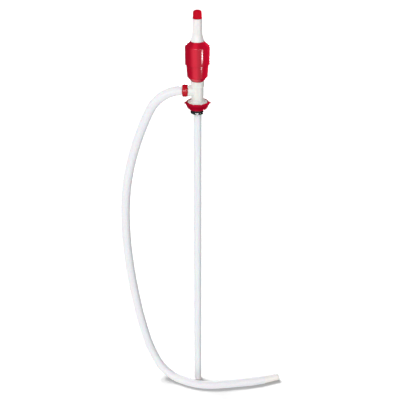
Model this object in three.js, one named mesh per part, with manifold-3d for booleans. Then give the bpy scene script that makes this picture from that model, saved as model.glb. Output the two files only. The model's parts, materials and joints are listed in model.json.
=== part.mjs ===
// Siphon pump for drums, primed by hand: a two-part red barrel on a white tee, a suction tube through
// a 2 inch bung adapter, and a discharge hose.
// Millimetres, +Z up. The origin is the centre of the bung's seat, on the pump's axis. The port faces -X.

import * as THREE from "three";
import { NURBSCurve } from "three/addons/curves/NURBSCurve.js";
import { mergeVertices } from "three/addons/utils/BufferGeometryUtils.js";
import Module from "manifold-3d";

// ---------- driving dimensions ----------

const GAP = 0.3; // between two pieces that touch
const RUN = 0.4; // between a moving piece and what guides it
const BIG_SIDES = 30; // round pieces over 20 mm across
const SMALL_SIDES = 18; // round pieces under that

const TUBE_OUTER = 11; // suction tube radii
const TUBE_INNER = 9;
const TUBE_TOP = 20;
const FOOT = -967; // lowest point of the suction tube
const FOOT_SLANT = 7; // how much shorter the tube is on its port side

const GASKET_THICK = 2;
const FLANGE_RADIUS = 31.6;
const FLANGE_TOP = 6;
const RIM_TOP = 8.3;
const THREAD_RADIUS = 29.8; // pipe thread of a 2 inch bung
const THREAD_PITCH = 2.3;
const THREAD_DEPTH = 1.2;
const TAPER_TOP = -4; // the thread narrows below this level
const ADAPTER_FOOT = -13;
const ADAPTER_FOOT_RADIUS = 24.8;
const WING_ROOT = 29.6; // where a wing starts, inside the rim
const WING_REACH = 36.5;
const WING_WIDTH = 12;
const WING_TIP_WIDTH = 5;
const WING_FOOT = 2.4;
const WING_ROOT_TOP = 7.6;
const WING_TIP_TOP = 4.8;
const NOTCH_COUNT = 8;
const NOTCH_WIDTH = 4;
const NOTCH_DEPTH = 1.2;

const GLAND_FOOT = -25;
const GLAND_RADIUS = 19.5;
const GLAND_STEP = -8; // where the gland widens inside the adapter
const GLAND_WAIST = 22;
const GLAND_LEDGE = 2.9; // underside of the flange that hangs the gland in the adapter
const GLAND_FLANGE = 28;
const GLAND_TOP = 5;
const SEAL_CHAMBER = 17; // radius of the space that holds the gland's seal and collar
const CHAMBER_FLOOR = GLAND_FOOT + 4;
const SEAL_TOP = -9;

const TEE_FOOT_RADIUS = 23.5;
const TEE_FOOT = GLAND_TOP - 1;
const TEE_FOOT_TOP = 8;
const TEE_RADIUS = 16.6;
const TEE_BORE = 13;
const COLLAR_RADIUS = 17.8;
const COLLAR_FOOT = 50;
const COLLAR_TOP = 67.2;
const SPIGOT_FOOT = COLLAR_FOOT + 4.6; // the barrel's spigot in the tee's collar
const SPIGOT_RADIUS = 15;
const PORT_LEVEL = 39;
const PORT_RADIUS = 14.6;
const PORT_BORE = 9.6;
const PORT_END = 26; // distance of the port's mouth from the pump's axis
const PORT_SOCKET = 12.6; // radius of the wider bore that holds the outlet seat and the barb
const SOCKET_FLOOR = 15.5;
const FLAP_FACE = 17.4; // distance of the closed flap from the pump's axis
const FLAP_PORT = 6;
const FLAP_RADIUS = 7.6;
const PIN_X = -18.8;
const PIN_LEVEL = PORT_LEVEL + 8.6;
const PIN_RADIUS = 0.6;
const EYE_RADIUS = 1.4; // the flap's hinge barrel round the pin
const BARB_FOOT = 22;
const BARB_BORE = 7.2;
const NUT_RADIUS = 16.8;
const NUT_BULGE = 22; // radius of the collar nut's bulge
const NUT_BORE = 13;
const NUT_END = 42;

const HOSE_DIAMETER = 25.4;
const HOSE_BORE = 19;
const HOSE_SIDES = 10;
const HOSE_STEPS = 64;
const NOZZLE_FOOT_RADIUS = 11.6;
const NOZZLE_RADIUS = 9.7;
const NOZZLE_BORE = 8;
const NOZZLE_LENGTH = 51;

const BARREL_FOOT = 67.6;
const BARREL_RADIUS = 30;
const BARREL_LOW_RADIUS = 27.8;
const BARREL_BORE = 26;
const CYLINDER_FLOOR = 84;
const STEP_LEVEL = 114; // lower edge of the upper barrel
const CYLINDER_TOP = 157;
const BARREL_MOUTH = 8;
const GROOVE_LEVEL = 147.5;
const UPPER_RADIUS = 33.4;
const SHOULDER_FOOT = 163;
const SHOULDER_TOP = 174.5;
const BARREL_RIM_TOP = 176.5;
const BARREL_RIM_RADIUS = 19.2;
const GUIDE_RADIUS = 15.4; // the rod guide under the upper barrel's top
const GUIDE_BORE = 10; // the hole in that top, which the guide's neck fills
const GUIDE_LEDGE = 170;
const GUIDE_FOOT = 167.4;

const ROD_OUTER = 7; // hollow rod radii
const AIR_BORE = 4;
const ROD_TOP = 200;
const HANDLE_FLANGE = 17.8;
const HANDLE_FOOT = 173.6;
const HANDLE_TOP = 236;
const HANDLE_RADIUS = 12.3;
const HANDLE_TOP_RADIUS = 13;
const FLARE_RADIUS = 110; // the long curve from the handle's foot to its neck
const FLARE_TOP = 212;
const HANDLE_RIBS = 12;
const CAP_FOOT = 236.6;
const CAP_TOP = 258;
const CAP_RADIUS = 12.7;
const VENT_THREAD = 7.6; // radius of the threaded stub under the cap
const VENT_THREAD_TOP = 246;
const VENT_SEAT = 222;
const PLUG_RADIUS = 5.4;
const PLUG_HEAD = 3.4;

const PISTON_LEVEL = 92; // underside of the piston at rest
const CUP_INNER = BARREL_BORE - 4;
const BALL_RADIUS = 9;
const BALL_LEVEL = 30.9;
const SEAT_BORE = 6.4;
const CAGE_FOOT = 49.4;

// Control points of the hose's centreline, a cubic B-spline from the collar nut to the nozzle.
// It leaves along -X, hangs in a wide bow, and lies along the level of the suction tube's foot.
const HOSE_LEVEL = FOOT + HOSE_DIAMETER / 2;
const HOSE_ROUTE = [
  [-(NUT_END + GAP), 0, PORT_LEVEL],
  [-51, 0, 38.8],
  [-63, 0, 37.2],
  [-80.5, 0, 32],
  [-96.5, 0, 23],
  [-111.2, 0.5, 11.3],
  [-123.4, 1, -3],
  [-133, 2, -19.6],
  [-144.5, 3, -44],
  [-156, 4.5, -72],
  [-168, 6.5, -103],
  [-184, 10, -152],
  [-199, 14, -208],
  [-211, 18, -276],
  [-217, 22, -347],
  [-218.5, 26, -420],
  [-216, 29, -495],
  [-210, 32, -571],
  [-201, 34, -648],
  [-189, 34, -726],
  [-173, 32, -803],
  [-158, 28, -858],
  [-139, 22, -899],
  [-127.2, 15.8, -918],
  [-116, 9.9, -930.4],
  [-103, 3, -940.6],
  [-88.8, -4.6, -948.1],
  [-73.6, -12.7, -952.6],
  [-58, -21, HOSE_LEVEL],
  [-30, -34.5, HOSE_LEVEL],
  [0, -45, HOSE_LEVEL],
  [38, -50, HOSE_LEVEL],
  [80, -46, HOSE_LEVEL],
  [147, -37, HOSE_LEVEL],
  [190, -31, HOSE_LEVEL],
  [219, -22.5, HOSE_LEVEL],
];

// ---------- shapes ----------

const wasm = await Module();
wasm.setup();
const { Manifold, Mesh: ManifoldMesh } = wasm;

function solid(geometry) {
  const bare = geometry.clone();
  bare.deleteAttribute("normal");
  bare.deleteAttribute("uv");
  const merged = mergeVertices(bare, 1e-4);
  const triVerts = new Uint32Array(merged.index.array);
  const vertProperties = new Float32Array(merged.attributes.position.array);
  return new Manifold(new ManifoldMesh({ numProp: 3, vertProperties, triVerts }));
}

function geometryOf(made) {
  const { vertProperties, triVerts } = made.getMesh();
  const geometry = new THREE.BufferGeometry();
  geometry.setAttribute("position", new THREE.BufferAttribute(new Float32Array(vertProperties), 3));
  geometry.setIndex(new THREE.BufferAttribute(new Uint32Array(triVerts), 1));
  return geometry;
}

function joined(...shapes) {
  return geometryOf(shapes.map(solid).reduce((made, next) => made.add(next)));
}

function cut(shape, ...tools) {
  return geometryOf(tools.map(solid).reduce((made, tool) => made.subtract(tool), solid(shape)));
}

// A profile of [radius, level] points, spun round the Z axis.
// It runs anticlockwise in the (radius, level) plane, and closes on itself or on the axis.
function spun(profile, sides = BIG_SIDES) {
  const points = profile.map(([radius, level]) => new THREE.Vector2(radius, level));
  const onAxis = profile[0][0] === 0 && profile.at(-1)[0] === 0;
  if (!onAxis) points.push(points[0].clone());
  return new THREE.LatheGeometry(points, sides).rotateX(Math.PI / 2);
}

function ring(inner, outer, low, high, sides = BIG_SIDES) {
  return spun([[inner, low], [outer, low], [outer, high], [inner, high]], sides);
}

function disc(radius, low, high, sides = BIG_SIDES) {
  return spun([[0, low], [radius, low], [radius, high], [0, high]], sides);
}

function oring(radius, section, level, sides = SMALL_SIDES) {
  return new THREE.TorusGeometry(radius, section, 6, sides).translate(0, 0, level);
}

function block(width, depth, height, x, y, z) {
  return new THREE.BoxGeometry(width, depth, height).translate(x, y, z);
}

// A shape made on the Z axis, laid along the port, so that its level becomes its distance along -X.
function alongPort(geometry) {
  return geometry.rotateY(-Math.PI / 2).translate(0, 0, PORT_LEVEL);
}

function arcPoints(centreRadius, centreLevel, radius, fromDeg, toDeg, steps) {
  return Array.from({ length: steps + 1 }, (_, i) => {
    const angle = THREE.MathUtils.degToRad(fromDeg + ((toDeg - fromDeg) * i) / steps);
    return [centreRadius + radius * Math.cos(angle), centreLevel + radius * Math.sin(angle)];
  });
}

// ---------- bung adapter and gland ----------

// The thread's crest radius, which narrows to a lead-in at the adapter's foot.
function threadRadius(level) {
  const share = Math.max(0, (TAPER_TOP - level) / (TAPER_TOP - ADAPTER_FOOT));
  return THREAD_RADIUS - share * (THREAD_RADIUS - ADAPTER_FOOT_RADIUS);
}

// A wing on the +X side, whose top slopes down to its tip.
function adapterWing() {
  const outline = new THREE.Shape([
    new THREE.Vector2(WING_ROOT, -WING_WIDTH / 2),
    new THREE.Vector2(WING_REACH, -WING_TIP_WIDTH / 2),
    new THREE.Vector2(WING_REACH, WING_TIP_WIDTH / 2),
    new THREE.Vector2(WING_ROOT, WING_WIDTH / 2),
  ]);
  const options = { depth: WING_ROOT_TOP - WING_FOOT, bevelEnabled: false };
  const slab = new THREE.ExtrudeGeometry(outline, options).translate(0, 0, WING_FOOT);
  const slope = Math.atan2(WING_ROOT_TOP - WING_TIP_TOP, WING_REACH - WING_ROOT);
  const above = block(40, 20, 10, 0, 0, 5).rotateY(slope).translate(WING_ROOT, 0, WING_ROOT_TOP);
  return cut(slab, above);
}

function bungAdapter() {
  const thread = [];
  const rise = THREAD_PITCH / 2; // from a root to the crest above it
  for (let z = ADAPTER_FOOT + 1; z < GASKET_THICK - THREAD_PITCH; z += THREAD_PITCH) {
    thread.push([threadRadius(z) - THREAD_DEPTH, z], [threadRadius(z + rise), z + rise]);
  }
  const body = spun([
    [GLAND_RADIUS + RUN, ADAPTER_FOOT],
    [ADAPTER_FOOT_RADIUS - THREAD_DEPTH, ADAPTER_FOOT],
    ...thread,
    [THREAD_RADIUS - THREAD_DEPTH, GASKET_THICK + GAP],
    [FLANGE_RADIUS, GASKET_THICK + GAP],
    [FLANGE_RADIUS, FLANGE_TOP],
    [FLANGE_RADIUS - 1, RIM_TOP],
    [GLAND_FLANGE + RUN, RIM_TOP],
    [GLAND_FLANGE + RUN, GLAND_LEDGE - GAP],
    [GLAND_WAIST + RUN, GLAND_LEDGE - GAP],
    [GLAND_WAIST + RUN, GLAND_STEP - GAP],
    [GLAND_RADIUS + RUN, GLAND_STEP - GAP],
  ]);
  const wings = [0, Math.PI].map((turn) => adapterWing().rotateZ(turn));
  const notches = Array.from({ length: NOTCH_COUNT }, (_, i) => {
    const angle = ((i + 0.5) / NOTCH_COUNT) * 2 * Math.PI;
    return block(5, NOTCH_WIDTH, 2 * NOTCH_DEPTH, FLANGE_RADIUS - 1.5, 0, RIM_TOP).rotateZ(angle);
  });
  return cut(joined(body, ...wings), ...notches);
}

function bungGasket() {
  return ring(THREAD_RADIUS + GAP, FLANGE_RADIUS + 1, 0, GASKET_THICK);
}

function glandBody() {
  return spun([
    [TUBE_OUTER + RUN, GLAND_FOOT],
    [GLAND_RADIUS - 1, GLAND_FOOT],
    [GLAND_RADIUS, GLAND_FOOT + 1],
    [GLAND_RADIUS, GLAND_STEP],
    [GLAND_WAIST, GLAND_STEP],
    [GLAND_WAIST, GLAND_LEDGE],
    [GLAND_FLANGE, GLAND_LEDGE],
    [GLAND_FLANGE, GLAND_TOP],
    [TEE_FOOT_RADIUS + RUN, GLAND_TOP],
    [TEE_FOOT_RADIUS + RUN, TEE_FOOT - GAP],
    [SEAL_CHAMBER, TEE_FOOT - GAP],
    [SEAL_CHAMBER, CHAMBER_FLOOR],
    [TUBE_OUTER + RUN, CHAMBER_FLOOR],
  ]);
}

function glandSeal() {
  return ring(TUBE_OUTER + GAP, SEAL_CHAMBER - GAP, CHAMBER_FLOOR + GAP, SEAL_TOP, SMALL_SIDES);
}

function glandCollar() {
  return ring(TUBE_OUTER + RUN, SEAL_CHAMBER - GAP, SEAL_TOP + GAP, TEE_FOOT - 1, SMALL_SIDES);
}

// ---------- suction tube and tee ----------

function suctionTube() {
  const tube = ring(TUBE_INNER, TUBE_OUTER, FOOT, TUBE_TOP, SMALL_SIDES);
  const slope = Math.atan2(FOOT_SLANT, 2 * TUBE_OUTER);
  const below = block(60, 60, 30, 0, 0, -15).rotateY(slope).translate(0, 0, FOOT + FOOT_SLANT / 2);
  return cut(tube, below);
}

function teeBody() {
  const outer = spun([
    [0, TEE_FOOT],
    [TEE_FOOT_RADIUS, TEE_FOOT],
    [TEE_FOOT_RADIUS, TEE_FOOT_TOP - 1],
    [TEE_FOOT_RADIUS - 1, TEE_FOOT_TOP],
    [TEE_RADIUS + 2, TEE_FOOT_TOP],
    [TEE_RADIUS, TEE_FOOT_TOP + 3],
    [TEE_RADIUS, COLLAR_FOOT - 1.2],
    [COLLAR_RADIUS, COLLAR_FOOT],
    [COLLAR_RADIUS, COLLAR_TOP],
    [0, COLLAR_TOP],
  ]);
  const cavity = spun([
    [0, TEE_FOOT - 1],
    [TUBE_OUTER + GAP, TEE_FOOT - 1],
    [TUBE_OUTER + GAP, TUBE_TOP + GAP],
    [TEE_BORE, TUBE_TOP + GAP],
    [TEE_BORE, SPIGOT_FOOT - GAP],
    [SPIGOT_RADIUS + GAP, SPIGOT_FOOT - GAP],
    [SPIGOT_RADIUS + GAP, COLLAR_TOP + 1],
    [0, COLLAR_TOP + 1],
  ]);
  const groove = ring(TUBE_OUTER, 13.2, 11.6, 14.4);
  const port = alongPort(disc(PORT_RADIUS, 4, PORT_END));
  const passage = alongPort(disc(PORT_BORE, 8, PORT_END + 1, SMALL_SIDES));
  const socket = alongPort(disc(PORT_SOCKET, SOCKET_FLOOR, PORT_END + 1, SMALL_SIDES));
  return cut(joined(outer, port), cavity, groove, passage, socket);
}

function tubeOring() {
  return oring(TUBE_OUTER + 1.1, 0.75, 13);
}

// ---------- intake valve ----------

function intakeSeat() {
  const low = TUBE_TOP + 2 * GAP;
  const high = low + 4.8;
  const profile = [
    [SEAT_BORE, low],
    [TEE_BORE - GAP, low],
    [TEE_BORE - GAP, high],
    [SEAT_BORE + 1.2, high],
    [SEAT_BORE, high - 1.2],
  ];
  return spun(profile, SMALL_SIDES);
}

function intakeBall() {
  return new THREE.SphereGeometry(BALL_RADIUS, 16, 10).rotateX(Math.PI / 2).translate(0, 0, BALL_LEVEL);
}

// A ring in the top of the tee's bore, with a cross bar that stops the ball.
function ballCage() {
  const band = ring(TEE_BORE - 2.4, TEE_BORE - GAP, CAGE_FOOT, CAGE_FOOT + 4, SMALL_SIDES);
  const bar = block(2 * TEE_BORE - 4, 3, 3, 0, 0, CAGE_FOOT + 1.6);
  return joined(band, bar);
}

// ---------- outlet valve and hose collar ----------

function outletSeat() {
  const floor = SOCKET_FLOOR + GAP;
  const sleeve = alongPort(ring(FLAP_PORT, PORT_BORE - GAP, floor - 2.3, floor + 1, SMALL_SIDES));
  const face = alongPort(ring(FLAP_PORT, PORT_SOCKET - GAP, floor, FLAP_FACE - GAP, SMALL_SIDES));
  const ears = [-1, 1].map((side) => {
    const ear = block(3.4, 1.2, 3, PIN_X + 0.1, side * 4.2, PIN_LEVEL);
    const hole = pinShape(PIN_RADIUS + GAP, 12);
    return cut(ear, hole);
  });
  return joined(sleeve, face, ...ears);
}

function pinShape(radius, length) {
  return new THREE.CylinderGeometry(radius, radius, length, 12).translate(PIN_X, 0, PIN_LEVEL);
}

function flapPin() {
  return pinShape(PIN_RADIUS, 9.2);
}

// The flap hangs from the pin, just outside the seat's face.
function outletFlap() {
  const plate = alongPort(disc(FLAP_RADIUS, FLAP_FACE, FLAP_FACE + 1.4, SMALL_SIDES));
  const web = block(1.4, 6, 2.4, PIN_X + 0.7, 0, PIN_LEVEL - 1.2);
  return cut(joined(plate, web, pinShape(EYE_RADIUS, 6)), pinShape(PIN_RADIUS + GAP, 12));
}

function hoseBarb() {
  const crest = HOSE_BORE / 2 + 0.3;
  const root = HOSE_BORE / 2 - 0.8;
  const barbs = [0, 1, 2].flatMap((i) => [[root, 29 + 4 * i], [crest, 29.4 + 4 * i]]);
  const profile = [
    [FLAP_RADIUS + 3, BARB_FOOT],
    [PORT_SOCKET - GAP, BARB_FOOT],
    [PORT_SOCKET - GAP, PORT_END],
    [root, PORT_END + 0.2],
    ...barbs,
    [root, NUT_END - GAP],
    [BARB_BORE, NUT_END - GAP],
    [BARB_BORE, BARB_FOOT + 7],
  ];
  return alongPort(spun(profile, SMALL_SIDES));
}

function hoseNut() {
  const middle = (PORT_END + NUT_END) / 2;
  const bulge = arcPoints(NUT_RADIUS - NUT_BULGE, middle, NUT_BULGE, -20, 20, 4);
  return alongPort(spun([[NUT_BORE, bulge[0][1]], ...bulge, [NUT_BORE, bulge.at(-1)[1]]]));
}

// ---------- hose and nozzle ----------

// A cubic B-spline that starts at the first point and ends at the last.
function splineThrough(points) {
  const degree = 3;
  const inner = points.length - degree - 1;
  const knots = [
    ...Array(degree + 1).fill(0),
    ...Array.from({ length: inner }, (_, i) => (i + 1) / (inner + 1)),
    ...Array(degree + 1).fill(1),
  ];
  const controls = points.map(([x, y, z]) => new THREE.Vector4(x, y, z, 1));
  return new NURBSCurve(degree, knots, controls);
}

const hoseCurve = splineThrough(HOSE_ROUTE);

function dischargeHose() {
  const corners = Array.from({ length: HOSE_SIDES }, (_, i) => {
    const angle = (i / HOSE_SIDES) * 2 * Math.PI;
    return new THREE.Vector2(Math.cos(angle), Math.sin(angle)).multiplyScalar(HOSE_DIAMETER / 2);
  });
  const options = { steps: HOSE_STEPS, extrudePath: hoseCurve };
  return new THREE.ExtrudeGeometry(new THREE.Shape(corners), options);
}

// The spout carries on from the hose's end, in its direction.
function nozzle() {
  const shape = spun([
    [NOZZLE_BORE, GAP],
    [HOSE_DIAMETER / 2 - 0.6, GAP],
    [HOSE_DIAMETER / 2 - 0.6, 2.4],
    [NOZZLE_FOOT_RADIUS, 3.4],
    [NOZZLE_RADIUS, NOZZLE_LENGTH - 8],
    [NOZZLE_RADIUS + 0.7, NOZZLE_LENGTH - 7],
    [NOZZLE_RADIUS + 0.7, NOZZLE_LENGTH - 5],
    [NOZZLE_RADIUS, NOZZLE_LENGTH - 4],
    [NOZZLE_RADIUS - 0.4, NOZZLE_LENGTH],
    [NOZZLE_BORE, NOZZLE_LENGTH],
  ]);
  const turn = new THREE.Quaternion();
  turn.setFromUnitVectors(new THREE.Vector3(0, 0, 1), hoseCurve.getTangent(1));
  return shape.applyQuaternion(turn).translate(...hoseCurve.getPoint(1));
}

// ---------- barrel ----------

function lowerBarrel() {
  return spun([
    [BARREL_MOUTH, SPIGOT_FOOT],
    [SPIGOT_RADIUS, SPIGOT_FOOT],
    [SPIGOT_RADIUS, BARREL_FOOT],
    [COLLAR_RADIUS - 0.4, BARREL_FOOT],
    ...arcPoints(BARREL_LOW_RADIUS - 4, 81.2, 4, -45, 0, 3),
    [BARREL_RADIUS, STEP_LEVEL - 1],
    [BARREL_RADIUS, GROOVE_LEVEL - 1.5],
    [BARREL_RADIUS - 1.6, GROOVE_LEVEL - 1.5],
    [BARREL_RADIUS - 1.6, GROOVE_LEVEL + 1.5],
    [BARREL_RADIUS, GROOVE_LEVEL + 1.5],
    [BARREL_RADIUS, CYLINDER_TOP],
    [BARREL_BORE, CYLINDER_TOP],
    [BARREL_BORE, CYLINDER_FLOOR],
    [BARREL_MOUTH, CYLINDER_FLOOR - 6],
  ]);
}

function upperBarrel() {
  return spun([
    [BARREL_RADIUS + GAP, STEP_LEVEL],
    [UPPER_RADIUS, STEP_LEVEL],
    [UPPER_RADIUS, SHOULDER_FOOT - 2],
    ...arcPoints(UPPER_RADIUS - 4, SHOULDER_FOOT - 2, 4, 12, 48, 3),
    [BARREL_RIM_RADIUS + 1.2, SHOULDER_TOP - 0.6],
    [BARREL_RIM_RADIUS, SHOULDER_TOP],
    [BARREL_RIM_RADIUS, BARREL_RIM_TOP],
    [HANDLE_FLANGE + RUN, BARREL_RIM_TOP],
    [HANDLE_FLANGE + RUN, HANDLE_FOOT - GAP],
    [GUIDE_BORE, HANDLE_FOOT - GAP],
    [GUIDE_BORE, GUIDE_LEDGE],
    [GUIDE_RADIUS + 1.6, GUIDE_LEDGE],
    [BARREL_RADIUS + GAP, CYLINDER_TOP + GAP],
  ]);
}

function barrelOring() {
  return oring(BARREL_RADIUS - 0.7, 0.65, GROOVE_LEVEL, BIG_SIDES);
}

function rodGuide() {
  const profile = [
    [ROD_OUTER + RUN, GUIDE_FOOT],
    [GUIDE_RADIUS, GUIDE_FOOT],
    [GUIDE_RADIUS, GUIDE_LEDGE - GAP],
    [GUIDE_BORE - GAP, GUIDE_LEDGE - GAP],
    [GUIDE_BORE - GAP, HANDLE_FOOT - 2 * GAP],
    [ROD_OUTER + RUN, HANDLE_FOOT - 2 * GAP],
  ];
  return spun(profile, SMALL_SIDES);
}

function rodSeal() {
  return ring(ROD_OUTER + GAP, 11, GUIDE_FOOT - 3.4, GUIDE_FOOT - GAP, SMALL_SIDES);
}

// ---------- plunger ----------

function handle() {
  const flare = arcPoints(HANDLE_RADIUS - 0.3 + FLARE_RADIUS, FLARE_TOP, FLARE_RADIUS, 198.2, 180, 4);
  const body = spun([
    [0, HANDLE_FOOT],
    [HANDLE_FLANGE, HANDLE_FOOT],
    [HANDLE_FLANGE, BARREL_RIM_TOP + GAP],
    ...flare,
    [HANDLE_RADIUS + 0.2, 228],
    [HANDLE_TOP_RADIUS, HANDLE_TOP - 1],
    [HANDLE_TOP_RADIUS - 0.5, HANDLE_TOP],
    [VENT_THREAD, HANDLE_TOP],
    [VENT_THREAD, VENT_THREAD_TOP],
    [0, VENT_THREAD_TOP],
  ]);
  const bore = spun([
    [0, HANDLE_FOOT - 1],
    [ROD_OUTER + GAP, HANDLE_FOOT - 1],
    [ROD_OUTER + GAP, ROD_TOP + GAP],
    [AIR_BORE, ROD_TOP + GAP],
    [AIR_BORE, VENT_SEAT],
    [PLUG_RADIUS + RUN, VENT_SEAT + 4],
    [PLUG_RADIUS + RUN, VENT_THREAD_TOP + 1],
    [0, VENT_THREAD_TOP + 1],
  ]);
  const ribs = Array.from({ length: HANDLE_RIBS }, (_, i) =>
    block(0.8, 1.1, 30, HANDLE_RADIUS + 0.2, 0, 211).rotateZ((i / HANDLE_RIBS) * 2 * Math.PI),
  );
  return joined(cut(body, bore), ...ribs);
}

function plungerTube() {
  return ring(AIR_BORE, ROD_OUTER, PISTON_LEVEL - 5, ROD_TOP, SMALL_SIDES);
}

function piston() {
  return spun([
    [ROD_OUTER + GAP, PISTON_LEVEL],
    [CUP_INNER, PISTON_LEVEL],
    [CUP_INNER, PISTON_LEVEL + 3],
    [BARREL_BORE - RUN, PISTON_LEVEL + 3],
    [BARREL_BORE - RUN, PISTON_LEVEL + 7],
    [ROD_OUTER + 4, PISTON_LEVEL + 7],
    [ROD_OUTER + 3, PISTON_LEVEL + 10],
    [ROD_OUTER + GAP, PISTON_LEVEL + 10],
  ]);
}

function pistonCup() {
  return spun([
    [CUP_INNER + GAP, PISTON_LEVEL + 0.2],
    [BARREL_BORE - 0.9, PISTON_LEVEL - 1.2],
    [BARREL_BORE - RUN, PISTON_LEVEL - 1.2],
    [BARREL_BORE - RUN, PISTON_LEVEL + 3 - GAP],
    [CUP_INNER + GAP, PISTON_LEVEL + 3 - GAP],
  ]);
}

function pistonNut() {
  const hexagon = disc(12, PISTON_LEVEL - 4.4, PISTON_LEVEL - GAP, 6);
  return cut(hexagon, disc(ROD_OUTER + GAP, PISTON_LEVEL - 5, PISTON_LEVEL, SMALL_SIDES));
}

// ---------- air vent ----------

function ventPlug() {
  const profile = [
    [0, VENT_SEAT + 0.8],
    [1.6, VENT_SEAT + 0.8],
    [3.4, VENT_SEAT + 2.4],
    [3.4, VENT_SEAT + 4.8],
    [PLUG_RADIUS, VENT_SEAT + 4.8],
    [PLUG_RADIUS, VENT_THREAD_TOP],
    [PLUG_HEAD, VENT_THREAD_TOP],
    [PLUG_HEAD, VENT_THREAD_TOP + 3],
    [0, VENT_THREAD_TOP + 3],
  ];
  return spun(profile, SMALL_SIDES);
}

function ventOring() {
  return oring(4.35, 0.65, VENT_SEAT + 3.8);
}

function ventCap() {
  const ceiling = VENT_THREAD_TOP + 2 * GAP;
  const dome = arcPoints(CAP_RADIUS - 6.6, CAP_TOP - 5.8, 5.4, 12, 78, 4);
  return spun([
    [0, ceiling + 3],
    [PLUG_HEAD + GAP, ceiling + 3],
    [PLUG_HEAD + GAP, ceiling],
    [VENT_THREAD + RUN, ceiling],
    [VENT_THREAD + RUN, CAP_FOOT],
    [CAP_RADIUS, CAP_FOOT],
    [CAP_RADIUS, CAP_FOOT + 1.6],
    ...dome,
    [0, CAP_TOP],
  ]);
}

// ---------- assembly ----------

const RED = { color: 0xc8102e, roughness: 0.35, metalness: 0 };
const WHITE = { color: 0xeeeeef, roughness: 0.45, metalness: 0 };
const BLACK = { color: 0x0c0d0f, roughness: 0.15, metalness: 0 };
const RUBBER = { color: 0x1b1b1c, roughness: 0.8, metalness: 0 };
const CLEAR_WHITE = { color: 0xe9ecef, roughness: 0.35, metalness: 0 };
const STEEL = { color: 0xb8babd, roughness: 0.3, metalness: 1 };

function piece(name, shape, look) {
  const mesh = new THREE.Mesh(shape, new THREE.MeshStandardMaterial(look));
  mesh.geometry.computeVertexNormals();
  mesh.name = name;
  return mesh;
}

function group(...members) {
  const made = new THREE.Group();
  made.add(...members);
  return made;
}

const adapter = group(
  piece("bung_adapter", bungAdapter(), RED),
  piece("bung_gasket", bungGasket(), RUBBER),
);

const gland = group(
  piece("gland_body", glandBody(), BLACK),
  piece("gland_seal", glandSeal(), RUBBER),
  piece("gland_collar", glandCollar(), BLACK),
);

const teeAndTube = group(
  piece("suction_tube", suctionTube(), WHITE),
  piece("tee_body", teeBody(), WHITE),
  piece("tube_oring", tubeOring(), RUBBER),
  piece("intake_seat", intakeSeat(), WHITE),
  piece("intake_ball", intakeBall(), STEEL),
  piece("ball_cage", ballCage(), WHITE),
);

const outlet = group(
  piece("outlet_seat", outletSeat(), WHITE),
  piece("flap_pin", flapPin(), STEEL),
  piece("outlet_flap", outletFlap(), RUBBER),
  piece("hose_barb", hoseBarb(), WHITE),
  piece("hose_nut", hoseNut(), RED),
  piece("discharge_hose", dischargeHose(), CLEAR_WHITE),
  piece("nozzle", nozzle(), WHITE),
);

const barrel = group(
  piece("lower_barrel", lowerBarrel(), RED),
  piece("upper_barrel", upperBarrel(), RED),
  piece("barrel_oring", barrelOring(), RUBBER),
  piece("rod_guide", rodGuide(), WHITE),
  piece("rod_seal", rodSeal(), RUBBER),
);

const plunger = group(
  piece("handle", handle(), WHITE),
  piece("plunger_tube", plungerTube(), WHITE),
  piece("piston", piston(), WHITE),
  piece("piston_cup", pistonCup(), RUBBER),
  piece("piston_nut", pistonNut(), WHITE),
);

const vent = group(
  piece("vent_plug", ventPlug(), WHITE),
  piece("vent_oring", ventOring(), RUBBER),
  piece("vent_cap", ventCap(), RED),
);

const pump = group(adapter, gland, teeAndTube, outlet, barrel, plunger, vent);

export default pump;
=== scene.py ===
import json
import math

import bmesh
import bpy
from mathutils import Matrix, Vector


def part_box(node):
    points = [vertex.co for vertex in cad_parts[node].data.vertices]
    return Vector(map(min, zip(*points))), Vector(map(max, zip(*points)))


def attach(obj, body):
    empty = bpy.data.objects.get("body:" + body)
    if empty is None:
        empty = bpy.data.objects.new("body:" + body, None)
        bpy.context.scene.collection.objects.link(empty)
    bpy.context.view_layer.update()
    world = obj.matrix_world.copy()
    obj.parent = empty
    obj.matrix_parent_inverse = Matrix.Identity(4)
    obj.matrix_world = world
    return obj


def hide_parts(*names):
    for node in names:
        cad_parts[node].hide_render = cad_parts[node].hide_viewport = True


# The looks of a siphon drum pump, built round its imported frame. Blender's units are metres, +Z is up.
# Profiles are drawn in millimetres, as [radius, level] points from the pump's axis and the bung's seat,
# and lathe() turns them into metres.

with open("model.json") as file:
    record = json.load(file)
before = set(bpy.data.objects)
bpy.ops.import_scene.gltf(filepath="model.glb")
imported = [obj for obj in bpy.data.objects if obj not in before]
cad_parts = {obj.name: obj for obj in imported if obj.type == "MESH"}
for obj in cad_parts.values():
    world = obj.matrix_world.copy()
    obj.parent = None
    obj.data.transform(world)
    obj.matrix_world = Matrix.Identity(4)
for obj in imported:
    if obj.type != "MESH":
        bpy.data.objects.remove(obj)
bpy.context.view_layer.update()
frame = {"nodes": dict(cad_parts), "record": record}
record = frame["record"]

# ---------- driving sizes ----------

MM = 0.001
GAP = 0.3  # millimetres between two pieces that touch
CORNER_STEPS = 4  # segments in each eased corner
EASE_LIMIT = 0.45  # how much of a side one eased corner may take
MERGE_DISTANCE = 1e-7  # metres, for points that meet on the axis
SMOOTH_ANGLE = math.radians(32)

CAMERA_AIM = Vector((0.007, 0, -0.297))
CAMERA_ELEVATION = math.radians(27)
CAMERA_DISTANCE = 2.187
CAMERA_LENS = 66.9

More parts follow.
